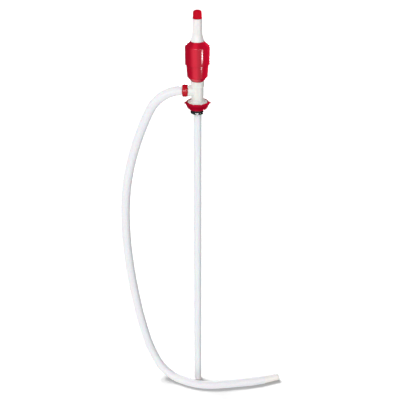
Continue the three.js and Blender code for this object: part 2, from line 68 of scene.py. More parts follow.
HOSE_DIAMETER = 0.0254
HOSE_ROUTE = [
    (-0.0423, 0, 0.039),
    (-0.051, 0, 0.0388),
    (-0.063, 0, 0.0372),
    (-0.0805, 0, 0.032),
    (-0.0965, 0, 0.023),
    (-0.1112, 0.0005, 0.0113),
    (-0.1234, 0.001, -0.003),
    (-0.133, 0.002, -0.0196),
    (-0.1445, 0.003, -0.044),
    (-0.156, 0.0045, -0.072),
    (-0.168, 0.0065, -0.103),
    (-0.184, 0.01, -0.152),
    (-0.199, 0.014, -0.208),
    (-0.211, 0.018, -0.276),
    (-0.217, 0.022, -0.347),
    (-0.2185, 0.026, -0.42),
    (-0.216, 0.029, -0.495),
    (-0.21, 0.032, -0.571),
    (-0.201, 0.034, -0.648),
    (-0.189, 0.034, -0.726),
    (-0.173, 0.032, -0.803),
    (-0.158, 0.028, -0.858),
    (-0.139, 0.022, -0.899),
    (-0.1272, 0.0158, -0.918),
    (-0.116, 0.0099, -0.9304),
    (-0.103, 0.003, -0.9406),
    (-0.0888, -0.0046, -0.9481),
    (-0.0736, -0.0127, -0.9526),
    (-0.058, -0.021, -0.9543),
    (-0.03, -0.0345, -0.9543),
    (0, -0.045, -0.9543),
    (0.038, -0.05, -0.9543),
    (0.08, -0.046, -0.9543),
    (0.147, -0.037, -0.9543),
    (0.19, -0.031, -0.9543),
    (0.219, -0.0225, -0.9543),
]

BODY_OF = {node: body for body, nodes in record["behaviour"]["bodies"].items() for node in nodes}
SLOT_OF = {row["node"]: row["material_slot"] for row in record["subparts"]}


def levels(node):
    """A CAD node's lowest and highest level, in millimetres."""
    low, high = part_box(node)
    return low.z / MM, high.z / MM


def reach(node):
    """How far a CAD node stands out towards +X from the pump's axis, in millimetres."""
    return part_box(node)[1].x / MM


def along_port(node):
    """A CAD node's nearest and farthest distance from the pump's axis along the port, in millimetres."""
    low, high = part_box(node)
    return -high.x / MM, -low.x / MM


def half_height(node):
    low, high = levels(node)
    return (high - low) / 2


PORT_LEVEL = sum(levels("hose_nut")) / 2
PORT_PLACE = Matrix(((0, 0, -1, 0), (0, 1, 0, 0), (1, 0, 0, PORT_LEVEL * MM), (0, 0, 0, 1)))

# ---------- shapes ----------


def rounded(profile, fillet):
    """A closed profile with its corners eased. A third number in a point is that corner's own fillet."""
    eased = []
    for i, (radius, level, *own) in enumerate(profile):
        corner = Vector((radius, level))
        before = Vector(profile[i - 1][:2]) - corner
        after = Vector(profile[(i + 1) % len(profile)][:2]) - corner
        ease = min(own[0] if own else fillet, EASE_LIMIT * before.length, EASE_LIMIT * after.length)
        if radius == 0 or ease == 0:
            eased.append(corner)
            continue
        start = corner + before.normalized() * ease
        end = corner + after.normalized() * ease
        for step in range(CORNER_STEPS + 1):
            share = step / CORNER_STEPS
            eased.append(start.lerp(corner, share).lerp(corner.lerp(end, share), share))
    return eased


def divided(points, longest):
    """The closed profile with no side longer than longest."""
    fine = []
    for i, point in enumerate(points):
        following = points[(i + 1) % len(points)]
        parts = max(1, math.ceil((following - point).length / longest))
        fine += [point.lerp(following, part / parts) for part in range(parts)]
    return fine


def arc(centre_radius, centre_level, radius, start, end, steps=8):
    """Points of an arc in a profile, from start to end in degrees. They need no easing."""
    turns = [math.radians(start + (end - start) * i / steps) for i in range(steps + 1)]
    return [
        [centre_radius + radius * math.cos(turn), centre_level + radius * math.sin(turn), 0]
        for turn in turns
    ]


def band(inner, outer, low, high):
    return [[inner, low], [outer, low], [outer, high], [inner, high]]


def made_object(name, mesh):
    thing = bpy.data.objects.new(name, mesh)
    bpy.context.scene.collection.objects.link(thing)
    return thing


def smooth(thing):
    thing.data.shade_smooth()
    thing.data.set_sharp_from_angle(angle=SMOOTH_ANGLE)
    return thing


def lathe(name, profile, fillet=0.5, sides=96, longest=None, shape=None, place=None):
    """The closed profile spun round the Z axis. shape(turn, radius, level) may move each point."""
    points = rounded(profile, fillet)
    if longest:
        points = divided(points, longest)
    form = bmesh.new()
    rows = []
    for side in range(sides):
        turn = 2 * math.pi * side / sides
        row = []
        for radius, level in points:
            if shape:
                radius, level = shape(turn, radius, level)
            row.append(form.verts.new(Vector((radius * math.cos(turn), radius * math.sin(turn), level)) * MM))
        rows.append(row)
    for side, row in enumerate(rows):
        following = rows[(side + 1) % sides]
        for i, vertex in enumerate(row):
            j = (i + 1) % len(row)
            form.faces.new((vertex, following[i], following[j], row[j]))
    bmesh.ops.remove_doubles(form, verts=form.verts, dist=MERGE_DISTANCE)
    bmesh.ops.recalc_face_normals(form, faces=form.faces)
    mesh = bpy.data.meshes.new(name)
    form.to_mesh(mesh)
    form.free()
    if place:
        mesh.transform(place)
    return smooth(made_object(name, mesh))


def prism(name, outline, low, high, fillet):
    """A flat outline of (x, y) points, raised from low to high(x), with its edges eased. Millimetres."""
    form = bmesh.new()
    foot = [form.verts.new(Vector((x, y, low)) * MM) for x, y in outline]
    top = [form.verts.new(Vector((x, y, high(x))) * MM) for x, y in outline]
    form.faces.new(foot)
    form.faces.new(top)
    for i in range(len(outline)):
        j = (i + 1) % len(outline)
        form.faces.new((foot[i], foot[j], top[j], top[i]))
    bmesh.ops.recalc_face_normals(form, faces=form.faces)
    bmesh.ops.bevel(form, geom=form.edges[:], offset=fillet * MM, segments=3, profile=0.5, affect="EDGES")
    mesh = bpy.data.meshes.new(name)
    form.to_mesh(mesh)
    form.free()
    return made_object(name, mesh)


def settled(thing):
    """The object with its modifiers applied."""
    graph = bpy.context.evaluated_depsgraph_get()
    made = bpy.data.meshes.new_from_object(thing.evaluated_get(graph))
    thing.modifiers.clear()
    thing.data = made
    return thing


def combined(thing, operation, *others):
    """thing joined with others, or cut by them: operation is UNION or DIFFERENCE."""
    for other in others:
        change = thing.modifiers.new("boolean", "BOOLEAN")
        change.operation = operation
        change.solver = "EXACT"
        change.object = other
    settled(thing)
    for other in others:
        bpy.data.objects.remove(other)
    return thing


def melted(thing, voxel, rounds):
    """The object remeshed and smoothed, which eases its edges and blends its joints as a mould does."""
    remesh = thing.modifiers.new("remesh", "REMESH")
    remesh.mode = "VOXEL"
    remesh.voxel_size = voxel * MM
    settled(thing)
    relax = thing.modifiers.new("smooth", "SMOOTH")
    relax.factor = 0.5
    relax.iterations = rounds
    return settled(thing)


def saw(turn, level, start, end, pitch, steep=0.75):
    """The height, 0 to 1, of a right-hand screw thread between two levels, fading out at both."""
    share = ((level - start) / pitch - turn / (2 * math.pi)) % 1
    height = share / steep if share < steep else (1 - share) / (1 - steep)
    fade = min(1, (level - start) / pitch, (end - level) / pitch)
    return height * max(0, fade)


def ripple(turn, count, sharpness=1):
    """0 to 1 round the axis, count times. A higher sharpness makes the crests narrower."""
    return (0.5 + 0.5 * math.cos(count * turn)) ** sharpness


def ramp(value, start, end):
    """0 before start, 1 after end, and smooth between them."""
    share = min(1, max(0, (value - start) / (end - start)))
    return share * share * (3 - 2 * share)


# ---------- materials ----------

EVEN = (1, 1, 1)  # how far a texture is stretched along each axis
UPRIGHT = (1, 1, 14)  # streaks that run up and down
LONG_UPRIGHT = (1, 1, 30)
SLIGHTLY_UPRIGHT = (1, 1, 1.6)
SIDEWAYS = (8, 1, 1)
CLOUD_SPREAD = (0.36, 0.64)  # where most values of a noise lie
GLOSS_SPREAD = (0.3, 0.7)  # the values of a noise that a roughness runs between
CRIMSON = (1, 0, 0.22, 1)  # the sheen of the red plastic
PAINTED_LIGHT_BAND_COUNT = 4  # painted light and shade: bands of light painted round a red piece
PAINTED_LIGHT_BAND_BEARING = -103  # degrees, of the crest of one painted light band
STREAK_SHARE = 0.3  # how much fine random streaks count against the broad painted light bands


def mixed_value(tree, share, first, second):
    """A number between two. Each of the three is a number or an output of the tree."""
    node = tree.nodes.new("ShaderNodeMix")
    for socket, value in (("Factor", share), ("A", first), ("B", second)):
        if isinstance(value, float):
            node.inputs[socket].default_value = value
        else:
            tree.links.new(value, node.inputs[socket])
    return node.outputs["Result"]


class Look:
    """A Principled material and the nodes that feed it. Textures are laid in the part's frame, in metres."""

    def __init__(self, name, **values):
        self.material = bpy.data.materials.new(name)
        self.material.use_nodes = True
        self.tree = self.material.node_tree
        self.shader = self.tree.nodes["Principled BSDF"]
        self.place = self.tree.nodes.new("ShaderNodeTexCoord").outputs["Object"]
        for socket, value in values.items():
            self.shader.inputs[socket.replace("_", " ")].default_value = value

    def noise(self, size, stretch=EVEN, detail=3.0):
        """Noise whose features are about size metres across. stretch makes them longer along an axis."""
        mapping = self.tree.nodes.new("ShaderNodeMapping")
        mapping.inputs["Scale"].default_value = [1 / (size * s) for s in stretch]
        self.tree.links.new(self.place, mapping.inputs["Vector"])
        texture = self.tree.nodes.new("ShaderNodeTexNoise")
        texture.inputs["Scale"].default_value = 1
        texture.inputs["Detail"].default_value = detail
        self.tree.links.new(mapping.outputs["Vector"], texture.inputs["Vector"])
        return texture.outputs["Fac"]

    def calculated(self, operation, *values):
        node = self.tree.nodes.new("ShaderNodeMath")
        node.operation = operation
        for socket, value in zip(node.inputs, values):
            if isinstance(value, (int, float)):
                socket.default_value = value
            else:
                self.tree.links.new(value, socket)
        return node.outputs["Value"]

    def stripes(self, count, bearing, sharpness=3):
        """0 to 1 and back, count times round the pump's axis, with a crest at a bearing in degrees."""
        turn = self.tree.nodes.new("ShaderNodeTexGradient")
        turn.gradient_type = "RADIAL"
        self.tree.links.new(self.place, turn.inputs["Vector"])
        start = math.pi + math.radians(bearing)
        angle = self.calculated("MULTIPLY_ADD", turn.outputs["Fac"], 2 * math.pi * count, -start * count)
        wave = self.calculated("MULTIPLY_ADD", self.calculated("COSINE", angle), 0.5, 0.5)
        return self.calculated("POWER", wave, sharpness)

    def mixed_value(self, share, first, second):
        return mixed_value(self.tree, share, first, second)

    def mapped(self, value, from_low, from_high, low, high):
        node = self.tree.nodes.new("ShaderNodeMapRange")
        for socket, number in (
            ("From Min", from_low),
            ("From Max", from_high),
            ("To Min", low),
            ("To Max", high),
        ):
            node.inputs[socket].default_value = number
        self.tree.links.new(value, node.inputs["Value"])
        return node.outputs["Result"]

    def mixed(self, share, first, second):
        """A colour between two, each a linear RGB triple or an output of this tree."""
        node = self.tree.nodes.new("ShaderNodeMix")
        node.data_type = "RGBA"
        self.tree.links.new(share, node.inputs["Factor"])
        for socket, colour in (("A", first), ("B", second)):
            target = next(i for i in node.inputs if i.name == socket and i.type == "RGBA")
            if isinstance(colour, tuple):
                target.default_value = (*colour, 1)
            else:
                self.tree.links.new(colour, target)
        return next(o for o in node.outputs if o.type == "RGBA")

    def colour(self, share, first, second):
        self.tree.links.new(self.mixed(share, first, second), self.shader.inputs["Base Color"])

    def roughness(self, size, low, high, stretch=EVEN):
        """From low to high, in patches about size metres across."""
        mapped = self.mapped(self.noise(size, stretch), *GLOSS_SPREAD, low, high)
        self.tree.links.new(mapped, self.shader.inputs["Roughness"])

    def bumps(self, *layers, stretch=EVEN):
        """Each layer is the size of its waves and their depth, in metres. The broadest comes first."""
        normal = None
        for size, depth in layers:
            node = self.tree.nodes.new("ShaderNodeBump")
            node.inputs["Distance"].default_value = depth
            self.tree.links.new(self.noise(size, stretch), node.inputs["Height"])
            if normal:
                self.tree.links.new(normal, node.inputs["Normal"])
            normal = node.outputs["Normal"]
        self.tree.links.new(normal, self.shader.inputs["Normal"])


def red_plastic(name, bright, dull, gloss, roughness, sheen=0.0):
    """Light and dull bands of painted light and shade that run up and down, mixed with fine random streaks,
    and a crimson sheen at the edges.
    """
    look = Look(name, Specular_IOR_Level=gloss, Sheen_Weight=sheen, Sheen_Roughness=0.3, Sheen_Tint=CRIMSON)
    # painted light and shade: broad light and dull bands round the axis, painted into the base colour
    painted_light_bands = look.stripes(PAINTED_LIGHT_BAND_COUNT, PAINTED_LIGHT_BAND_BEARING)
    streaks = look.noise(0.008, LONG_UPRIGHT, detail=2.0)
    # the painted light bands, with a share of random streaks, choose between the dull and bright colour
    light = look.mixed_value(STREAK_SHARE, painted_light_bands, streaks)
    look.colour(look.mapped(light, 0.15, 0.75, 0, 1), dull, bright)
    look.roughness(0.007, *roughness, SLIGHTLY_UPRIGHT)
    look.bumps((0.012, 0.00011), (0.0007, 0.000003))
    return look.material


def white_plastic(name, bright, dull):
    look = Look(name, Specular_IOR_Level=0.4, Subsurface_Weight=0.2, Subsurface_Scale=0.004)
    look.colour(look.mapped(look.noise(0.009), *CLOUD_SPREAD, 0, 1), bright, dull)
    look.roughness(0.003, 0.34, 0.46)
    look.bumps((0.011, 0.00012), (0.0006, 0.000008))
    return look.material


def tube_plastic(name, stretch):
    """Milky plastic, slightly blue, with faint clouds."""
    look = Look(name, Specular_IOR_Level=0.35, Subsurface_Weight=0.3, Subsurface_Scale=0.005)
    clouds = look.mapped(look.noise(0.005, stretch), *CLOUD_SPREAD, 0, 1)
    look.colour(clouds, (0.8, 0.805, 0.83), (0.765, 0.77, 0.795))
    look.roughness(0.002, 0.34, 0.48, stretch)
    look.bumps((0.004, 0.00006), (0.0008, 0.00001), stretch=stretch)
    return look.material


def black_plastic():
    look = Look("black_plastic", Specular_IOR_Level=0.4)
    look.colour(look.noise(0.01), (0.008, 0.009, 0.012), (0.016, 0.018, 0.022))
    look.roughness(0.006, 0.05, 0.1)
    look.bumps((0.009, 0.0001), (0.0009, 0.000004))
    return look.material


def rubber(name, bright, dull, gloss=0.3):
    look = Look(name, Specular_IOR_Level=gloss)
    look.colour(look.noise(0.002), bright, dull)
    look.roughness(0.002, 0.6, 0.78)
    look.bumps((0.0006, 0.00004))
    return look.material


def steel():
    look = Look("steel", Metallic=1)
    look.colour(look.noise(0.004), (0.62, 0.63, 0.65), (0.5, 0.51, 0.53))
    look.roughness(0.001, 0.16, 0.3, SIDEWAYS)
    look.bumps((0.0008, 0.000008), stretch=SIDEWAYS)
    return look.material


# each red's bright and dull colours are mixed by its painted light bands and random streaks
BARREL_RED = red_plastic(
    "barrel_red", (0.6, 0.008, 0.032), (0.36, 0.002, 0.016), gloss=0.4, roughness=(0.07, 0.13), sheen=0.3
)
CAP_RED = red_plastic(
    "cap_red", (0.5, 0.001, 0.015), (0.42, 0.001, 0.011), gloss=0.04, roughness=(0.4, 0.5), sheen=0.1
)
NUT_RED = red_plastic(
    "nut_red", (0.52, 0.002, 0.018), (0.44, 0.002, 0.012), gloss=0.35, roughness=(0.12, 0.2)
)
RING_RED = red_plastic(
    "ring_red", (0.44, 0.001, 0.022), (0.34, 0.001, 0.015), gloss=0.02, roughness=(0.3, 0.44), sheen=0.15
)
BODY_WHITE = white_plastic("body_white", (0.78, 0.785, 0.75), (0.74, 0.75, 0.715))
GRIP_WHITE = white_plastic("grip_white", (0.81, 0.8, 0.79), (0.76, 0.75, 0.745))
SPOUT_WHITE = white_plastic("spout_white", (0.86, 0.83, 0.8), (0.82, 0.79, 0.76))
TUBE_WHITE = tube_plastic("tube_white", UPRIGHT)
HOSE_WHITE = tube_plastic("hose_white", EVEN)
GLAND_BLACK = black_plastic()
SEAL_BLACK = rubber("seal_black", (0.02, 0.02, 0.021), (0.035, 0.035, 0.036))
GASKET_RED = rubber("gasket_red", (0.4, 0.001, 0.02), (0.32, 0.001, 0.015), gloss=0.03)
STEEL = steel()

SLOT_LOOKS = {
    "white_plastic": BODY_WHITE,
    "rubber": SEAL_BLACK,
    "steel": STEEL,
}


def stand_in(thing, node, look):
    """thing shows in place of a CAD node: it rides on the node's body and takes the given look."""
    thing.data.materials.clear()
    thing.data.materials.append(look)
    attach(thing, BODY_OF[node])
    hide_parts(node)
    return thing


def form_name(node):
    return node + "_form"


# ---------- camera and hose ----------


def make_camera():
    lens = bpy.data.cameras.new("camera")
    lens.lens = CAMERA_LENS
    camera = bpy.data.objects.new("camera", lens)
    bpy.context.scene.collection.objects.link(camera)
    back = Vector((0, -math.cos(CAMERA_ELEVATION), math.sin(CAMERA_ELEVATION)))
    camera.location = CAMERA_AIM + back * CAMERA_DISTANCE
    camera.rotation_euler = (-back).to_track_quat("-Z", "Y").to_euler()
    bpy.context.scene.camera = camera


def discharge_hose():
    """A cubic B-spline led by the listed route, with the hose's diameter."""
    curve = bpy.data.curves.new(form_name("discharge_hose"), "CURVE")
    curve.dimensions = "3D"
    curve.resolution_u = 8
    curve.bevel_depth = HOSE_DIAMETER / 2
    curve.bevel_resolution = 10
    curve.use_fill_caps = True
    line = curve.splines.new("NURBS")
    line.points.add(len(HOSE_ROUTE) - 1)
    for point, (x, y, z) in zip(line.points, HOSE_ROUTE):
        point.co = (x, y, z, 1)
    line.order_u = 4
    line.use_endpoint_u = True
    hose = made_object(form_name("discharge_hose"), curve)
    return stand_in(hose, "discharge_hose", HOSE_WHITE)


def nozzle():
    """The spout in the hose's end: a shoulder, a long taper, and a lip near the tip."""
    shoulder, foot_radius, radius, bore, length = 12.1, 11.6, 9.7, 8, 51
    lip, lip_foot, lip_top = 10.4, length - 7, length - 5
    profile = [
        [bore, GAP],
        [shoulder, GAP],
        [shoulder, 2.4],
        [foot_radius, 3.2],
        [radius, lip_foot - 1, 1.5],
        [lip, lip_foot, 0.7],
        [lip, lip_top, 0.7],
        [radius, lip_top + 1, 1],
        [radius - 0.4, length, 1],
        [bore, length, 0.6],
    ]
    end = Vector(HOSE_ROUTE[-1])
    direction = end - Vector(HOSE_ROUTE[-2])
    place = Matrix.Translation(end) @ direction.to_track_quat("Z", "Y").to_matrix().to_4x4()
    spout = lathe(form_name("nozzle"), profile, 0.4, 72, place=place)
    return stand_in(spout, "nozzle", SPOUT_WHITE)


# ---------- bung adapter and gland ----------


def wing(side):
    """One of the adapter's two ears, for turning it by hand. Its top slopes down to the tip."""
    tip = reach("bung_adapter")
    root, shoulder, width, tip_width = 28.8, 30.1, 12, 5
    foot, root_top, tip_top = 2.45, 7.6, 4.8
    outline = [
        (root, -width / 2),
        (shoulder, -width / 2),
        (tip, -tip_width / 2),
        (tip, tip_width / 2),
        (shoulder, width / 2),
        (root, width / 2),
    ]
    if side < 0:
        outline = [(-x, y) for x, y in reversed(outline)]
    slope = (root_top - tip_top) / (tip - shoulder)

    def top(x):
        return min(root_top, root_top - slope * (abs(x) - shoulder))

    return prism("wing", outline, foot, top, 0.9)


def bung_adapter():
    """A pipe thread with a tapered lead-in, a ribbed flange with a notched rim, and two wings."""
    foot, rim_top = levels("bung_adapter")
    bore, waist_bore, rim_bore = 19.9, 22.4, 28.4
    step, ledge, taper_top = -8.3, 2.6, -4
    root, foot_root, depth, pitch = 28.5, 23.5, 1.3, 2.3
    flange, flange_foot, rim_foot = 31.6, 2.3, 6
    notch_count, notch_depth, notch_edges = 8, 1.8, (0.86, 0.97)
    rib_count, rib_depth = 40, 0.55

    def shape(turn, radius, level):
        if level < flange_foot - 0.1 and radius > waist_bore + 0.3:
            radius += depth * saw(turn, level, foot + 0.5, flange_foot, pitch)
        on_flange = ramp(level, flange_foot, flange_foot + 0.5) * (1 - ramp(level, rim_foot, rim_foot + 0.6))
        if radius > flange - 1.2:
            radius -= rib_depth * on_flange * ripple(turn, rib_count, 2)
        if level > rim_foot + 0.8:
            notch = ramp(ripple(turn + math.pi / notch_count, notch_count), *notch_edges)
            level -= notch_depth * notch
        return radius, level

    profile = [
        [bore, foot],
        [foot_root - 0.6, foot, 0.6],
        [foot_root, foot + 1, 0.6],
        [root - 0.8, taper_top - 3.5, 3],
        [root, taper_top, 2],
        [root, flange_foot],
        [flange, flange_foot],
        [flange, rim_foot, 1],
        [flange - 1, rim_foot + 0.9, 0.6],
        [flange - 1, rim_top, 0.6],
        [rim_bore, rim_top, 0.6],
        [rim_bore, ledge],
        [waist_bore, ledge],
        [waist_bore, step],
        [bore, step],
    ]
    adapter = lathe(form_name("bung_adapter"), profile, 0.4, 320, 0.4, shape)
    combined(adapter, "UNION", wing(-1), wing(1))
    return stand_in(smooth(adapter), "bung_adapter", RING_RED)


def bung_gasket():
    low, high = levels("bung_gasket")
    bore = 30.1
    profile = band(bore, reach("bung_gasket"), low, high)
    return stand_in(lathe(form_name("bung_gasket"), profile, 0.7), "bung_gasket", GASKET_RED)


def gland_body():
    """The gland: a foot under a narrow neck, a body inside the adapter, and a flange that hangs it there."""
    foot, top = levels("gland_body")
    flange, ledge = reach("gland_body"), 2.9
    tube, radius, step, waist = 11.4, 19.5, -8, 22
    shoulder, neck, neck_level = foot + 4.2, 17.6, -14.6
    recess, recess_floor = 23.9, 3.7
    chamber, chamber_floor = 17, foot + 4
    profile = [
        [tube, foot],
        [radius - 0.4, foot, 0.8],
        [radius, shoulder, 1.6],
        [neck, neck_level, 0.3],
        [radius, neck_level + 0.4, 0.2],
        [radius, step],
        [waist, step, 0.8],
        [waist, ledge],
        [flange, ledge],
        [flange, top, 0.8],
        [recess, top, 0.8],
        [recess, recess_floor],
        [chamber, recess_floor],
        [chamber, chamber_floor],
        [tube, chamber_floor],
    ]
    return stand_in(lathe(form_name("gland_body"), profile), "gland_body", GLAND_BLACK)


def gland_seal():
    low, high = levels("gland_seal")
    bore, radius = 11.3, 16.7
    profile = band(bore, radius, low, high)
    return stand_in(lathe(form_name("gland_seal"), profile, 0.8), "gland_seal", SEAL_BLACK)


def gland_collar():
    low, high = levels("gland_collar")
    bore, radius = 11.4, 16.7
    profile = band(bore, radius, low, high)
    return stand_in(lathe(form_name("gland_collar"), profile), "gland_collar", GLAND_BLACK)


# ---------- suction tube and tee ----------


def suction_tube():
    """A long tube whose foot is cut on a slant, shorter on the port's side."""
    foot, top = levels("suction_tube")
    outer, inner = 11, 9
    slant = 7

    def shape(turn, radius, level):
        if level < foot + 1:
            level += slant / 2 * (1 - radius / outer * math.cos(turn))
        return radius, level

    profile = [[inner, foot, 0.2], [outer, foot, 0.2], [outer, top, 0.4], [inner, top, 0.4]]
    tube = lathe(form_name("suction_tube"), profile, sides=72, shape=shape)
    return stand_in(tube, "suction_tube", TUBE_WHITE)


def tee_body():
    """The white tee: a foot flange, a straight body, a side port, and a collar for the barrel."""
    foot, top = levels("tee_body")
    foot_radius = reach("tee_body")
    flange, flange_foot, flange_top = 27.2, 5.3, 7.8  # covers the gland's flange
    body, body_foot, collar, collar_foot = 16.6, 12, 17.8, 50
    port_start, port_end = 6, along_port("tee_body")[1]
    port_radius, port_bore, port_socket, socket_floor = 14.6, 9.6, 12.6, 15.5
    tube, tube_top, groove, groove_foot, groove_top = 11.3, 20.3, 13, 11.6, 14.4
    bore, spigot, spigot_foot = 13, 15.3, 54.3
    voxel, smoothing_rounds = 0.5, 5
    outer = lathe(
        form_name("tee_body"),
        [
            [0, foot],
            [foot_radius, foot],
            [foot_radius, flange_foot, 0.2],
            [flange, flange_foot, 0.6],
            [flange, flange_top, 1],
            [body + 3, flange_top + 0.4, 1.5],
            [body, body_foot, 2],
            [body, collar_foot - 1.6],
            [collar, collar_foot, 0.6],
            [collar, top, 0.8],
            [0, top],
        ],
    )
    stub = [[0, port_start], [port_radius, port_start], [port_radius, port_end, 0.8], [0, port_end]]
    combined(outer, "UNION", lathe("port", stub, place=PORT_PLACE))
    melted(outer, voxel, smoothing_rounds)
    cavity = lathe(
        "cavity",
        [
            [0, foot - 1],
            [tube, foot - 1],
            [tube, groove_foot],
            [groove, groove_foot],
            [groove, groove_top],
            [tube, groove_top],
            [tube, tube_top],
            [bore, tube_top],
            [bore, spigot_foot],
            [spigot, spigot_foot],
            [spigot, top + 1],
            [0, top + 1],
        ],
        0.2,
    )
    passage = lathe("passage", [[0, 8], [port_bore, 8], [port_bore, 20], [0, 20]], 0, place=PORT_PLACE)
    mouth = [[0, socket_floor], [port_socket, socket_floor], [port_socket, port_end + 1], [0, port_end + 1]]
    socket = lathe("socket", mouth, 0, place=PORT_PLACE)
    combined(outer, "DIFFERENCE", cavity, passage, socket)
    return stand_in(smooth(outer), "tee_body", BODY_WHITE)


def oring(node, radius, section):
    level = sum(levels(node)) / 2
    profile = arc(radius, level, section, start=0, end=345, steps=23)
    return stand_in(lathe(form_name(node), profile, 0), node, SEAL_BLACK)


# ---------- valves and hose collar ----------


def intake_seat():
    low, high = levels("intake_seat")
    seat, radius, chamfer = 6.4, 12.7, 1.2
    profile = [[seat, low], [radius, low], [radius, high], [seat + chamfer, high], [seat, high - chamfer]]
    return stand_in(lathe(form_name("intake_seat"), profile), "intake_seat", BODY_WHITE)


def intake_ball():
    low, high = levels("intake_ball")
    radius = (high - low) / 2
    profile = arc(0, (low + high) / 2, radius, -90, 90, 32)
    profile[0][0] = profile[-1][0] = 0
    return stand_in(lathe(form_name("intake_ball"), profile, 0, 64), "intake_ball", STEEL)


def hose_barb():
    """A spigot that is held in the tee's port by its rim, with barbs for the hose."""
    low, high = along_port("hose_barb")
    face, rim, rim_end, root, crest, bore = 10.6, 12.3, 26, 8.7, 9.8, 7.2
    barb_count, first_barb, barb_pitch, barb_rise = 3, 29, 4, 0.5
    barbs = []
    for start in (first_barb + barb_pitch * i for i in range(barb_count)):
        barbs += [[root, start, 0.2], [crest, start + barb_rise, 0.3]]
    profile = [
        [face, low],
        [rim, low],
        [rim, rim_end],
        [root, rim_end + 0.2],
        *barbs,
        [root, high],
        [bore, high],
        [bore, low + 7],
    ]
    barb = lathe(form_name("hose_barb"), profile, 0.3, place=PORT_PLACE)
    return stand_in(barb, "hose_barb", BODY_WHITE)


def hose_nut():
    """The collar nut bulges at the middle, and has shallow grip flutes."""
    near, far = along_port("hose_nut")
    radius, bore, bulge = half_height("hose_nut"), 13, 22
    flute_count, flute_depth, flute_end = 28, 0.12, 3

    def shape(turn, own_radius, level):
        if own_radius > bore + 1.5:
            ends = ramp(level, near, near + flute_end) * (1 - ramp(level, far - flute_end, far))
            own_radius -= flute_depth * ends * ripple(turn, flute_count, 3)
        return own_radius, level

    outside = arc(radius - bulge, (near + far) / 2, bulge, start=-20, end=20, steps=16)
    edge = outside[0][0] - 1.2
    profile = [[bore, near], [edge, near], *outside[1:-1], [edge, far], [bore, far]]
    nut = lathe(form_name("hose_nut"), profile, 0.8, 280, 0.8, shape, PORT_PLACE)
    return stand_in(nut, "hose_nut", NUT_RED)


# ---------- barrel ----------


def lower_barrel():
    """The inner half of the barrel: a spigot, a cone, and a wall with a step and an O-ring groove."""
    foot, top = levels("lower_barrel")
    spigot, mouth, bore, floor = 15, 8, 26, 84
    cone_start, cone_foot, cone_top, cone_ease = 17.4, 67.6, 81.2, 4
    low_radius, radius, step = 27.8, 30, 114
    groove, groove_half, groove_depth = 147.5, 1.5, 1.6
    profile = [
        [mouth, foot],
        [spigot, foot],
        [spigot, cone_foot],
        [cone_start, cone_foot, 1],
        *arc(low_radius - cone_ease, cone_top, cone_ease, start=-45, end=0),
        [radius, step - 1, 0],
        [radius, groove - groove_half, 0.2],
        [radius - groove_depth, groove - groove_half, 0.2],
        [radius - groove_depth, groove + groove_half, 0.2],
        [radius, groove + groove_half, 0.2],
        [radius, top],
        [bore, top],
        [bore, floor, 2],
        [mouth, floor - 6],
    ]
    return stand_in(lathe(form_name("lower_barrel"), profile, 0.5, 128), "lower_barrel", BARREL_RED)


def upper_barrel():
    """The outer half of the barrel, which sleeves over the lower half and carries the rim."""
    foot, rim_top = levels("upper_barrel")
    radius, wall_top, wall_ease = reach("upper_barrel"), 161, 4
    bore, bore_top, shoulder_top, rim = 30.3, 157.3, 174.5, 19.2
    recess, recess_floor, guide, ledge, throat = 18.2, 173.3, 10, 170, 17
    profile = [
        [bore, foot, 0.3],
        [radius, foot, 0.9],
        [radius, wall_top, 0],
        *arc(radius - wall_ease, wall_top, wall_ease, start=8, end=48),
        [rim + 1.4, shoulder_top - 0.5, 1],
        [rim, shoulder_top + 0.3, 0.5],
        [rim, rim_top, 0.4],
        [recess, rim_top, 0.4],
        [recess, recess_floor],
        [guide, recess_floor],
        [guide, ledge],
        [throat, ledge],
        [bore, bore_top, 2],
    ]
    return stand_in(lathe(form_name("upper_barrel"), profile, 0.5, 128), "upper_barrel", BARREL_RED)


def rod_guide():
    low, high = levels("rod_guide")
    rod, radius, neck, ledge = 7.4, reach("rod_guide"), 9.7, 169.7
    profile = [[rod, low], [radius, low], [radius, ledge], [neck, ledge], [neck, high], [rod, high]]
    return stand_in(lathe(form_name("rod_guide"), profile, 0.4), "rod_guide", BODY_WHITE)


def rod_seal():
    low, high = levels("rod_seal")
    rod = 7.3
    profile = band(rod, reach("rod_seal"), low, high)
    return stand_in(lathe(form_name("rod_seal"), profile, 0.6), "rod_seal", SEAL_BLACK)


# ---------- plunger and vent ----------


